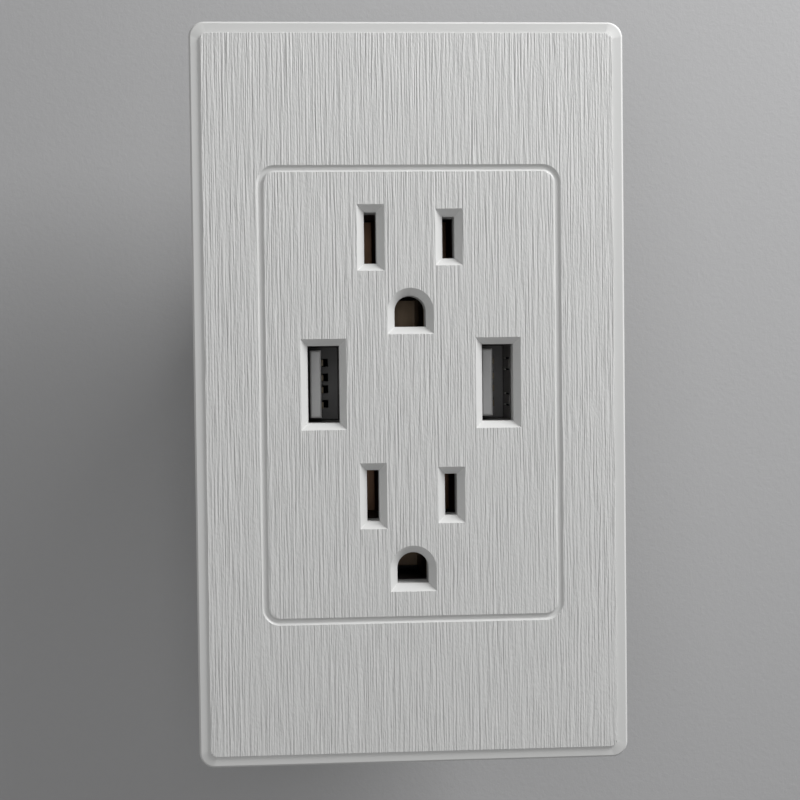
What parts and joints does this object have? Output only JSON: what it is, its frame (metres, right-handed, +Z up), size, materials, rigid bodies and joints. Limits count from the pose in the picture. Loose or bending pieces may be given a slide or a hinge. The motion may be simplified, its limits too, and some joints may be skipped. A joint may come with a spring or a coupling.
{
  "type": "usb wall socket",
  "caption": "White duplex wall socket with USB charging ports between the outlets, brushed one-piece clip-on cover over a mounting frame and a boxed body with screw terminals.",
  "frame": {"origin": "on the wall plane, midway between the two box screw holes, at the middle of the cover", "axes": "+X to the right as seen from the front, +Y into the wall, +Z up; the face looks along -Y"},
  "size_m": [0.07, 0.0348, 0.12],
  "materials": {
    "white_plastic": "moulded white polycarbonate, brushed texture on the face, satin elsewhere",
    "frame_plastic": "moulded white polycarbonate, satin",
    "lid_plastic": "moulded black nylon, satin",
    "housing_plastic": "moulded dark grey nylon, satin",
    "contact_brass": "rolled phosphor bronze strip",
    "line_screw_brass": "plated brass",
    "neutral_screw_steel": "nickel plated",
    "ground_screw_green": "green dyed steel",
    "clamp_steel": "nickel plated pressing",
    "shell_steel": "nickel plated folded sheet",
    "tongue_plastic": "white moulded insulator",
    "pin_gold": "gold flashed",
    "board_laminate": "green solder mask on glass laminate",
    "core_ferrite": "grey ferrite",
    "bobbin_plastic": "black moulded bobbin",
    "winding_tape": "yellow polyester tape over the windings",
    "capacitor_sleeve": "dark sleeve on an aluminium can",
    "chip_plastic": "black moulded package",
    "fuse_body": "tan ceramic body with end caps",
    "screw_steel": "zinc plated"
  },
  "bodies": {
    "socket_body": {"front_cover": "white_plastic", "mounting_frame": "frame_plastic", "contact_cover": "lid_plastic", "rear_housing": "housing_plastic", "line_contact": "contact_brass", "neutral_contact": "contact_brass", "ground_contact": "contact_brass", "line_feed_strip": "contact_brass", "neutral_feed_strip": "contact_brass", "left_usb_shell": "shell_steel", "right_usb_shell": "shell_steel", "left_usb_tongue": "tongue_plastic", "right_usb_tongue": "tongue_plastic", "left_usb_pins": "pin_gold", "right_usb_pins": "pin_gold", "charger_board": "board_laminate", "transformer_core": "core_ferrite", "transformer_bobbin": "bobbin_plastic", "transformer_winding": "winding_tape", "input_capacitor": "capacitor_sleeve", "output_capacitors": "capacitor_sleeve", "controller_chip": "chip_plastic", "rectifier_chip": "chip_plastic", "fuse": "fuse_body", "housing_screws": "screw_steel"},
    "line_clamp": {"line_clamp_plate": "clamp_steel"},
    "line_screw": {"line_terminal_screw": "line_screw_brass"},
    "neutral_clamp": {"neutral_clamp_plate": "clamp_steel"},
    "neutral_screw": {"neutral_terminal_screw": "neutral_screw_steel"},
    "ground_clamp": {"ground_clamp_plate": "clamp_steel"},
    "ground_screw": {"ground_terminal_screw": "ground_screw_green"}
  },
  "joints": [
    {"name": "line_clamp_slide", "type": "slide", "parent": "socket_body", "child": "line_clamp", "axis": [1, 0, 0], "range_m": [0, 0.0026]},
    {"name": "line_screw_turn", "type": "hinge", "parent": "line_clamp", "child": "line_screw", "pos_m": [0.0193, 0.019, 0.018], "axis": [1, 0, 0], "range_deg": [0, 1178.85]},
    {"name": "neutral_clamp_slide", "type": "slide", "parent": "socket_body", "child": "neutral_clamp", "axis": [-1, 0, 0], "range_m": [0, 0.0026]},
    {"name": "neutral_screw_turn", "type": "hinge", "parent": "neutral_clamp", "child": "neutral_screw", "pos_m": [-0.0193, 0.019, 0.018], "axis": [-1, 0, 0], "range_deg": [0, 1178.85]},
    {"name": "ground_clamp_slide", "type": "slide", "parent": "socket_body", "child": "ground_clamp", "axis": [-1, 0, 0], "range_m": [0, 0.0026]},
    {"name": "ground_screw_turn", "type": "hinge", "parent": "ground_clamp", "child": "ground_screw", "pos_m": [-0.0193, 0.019, -0.019], "axis": [-1, 0, 0], "range_deg": [0, 1178.85]}
  ],
  "couplings": [
    {"joint": "line_screw_turn", "follows": "line_clamp_slide", "rad_per_m": 7913.3},
    {"joint": "neutral_screw_turn", "follows": "neutral_clamp_slide", "rad_per_m": 7913.3},
    {"joint": "ground_screw_turn", "follows": "ground_clamp_slide", "rad_per_m": 7913.3}
  ]
}
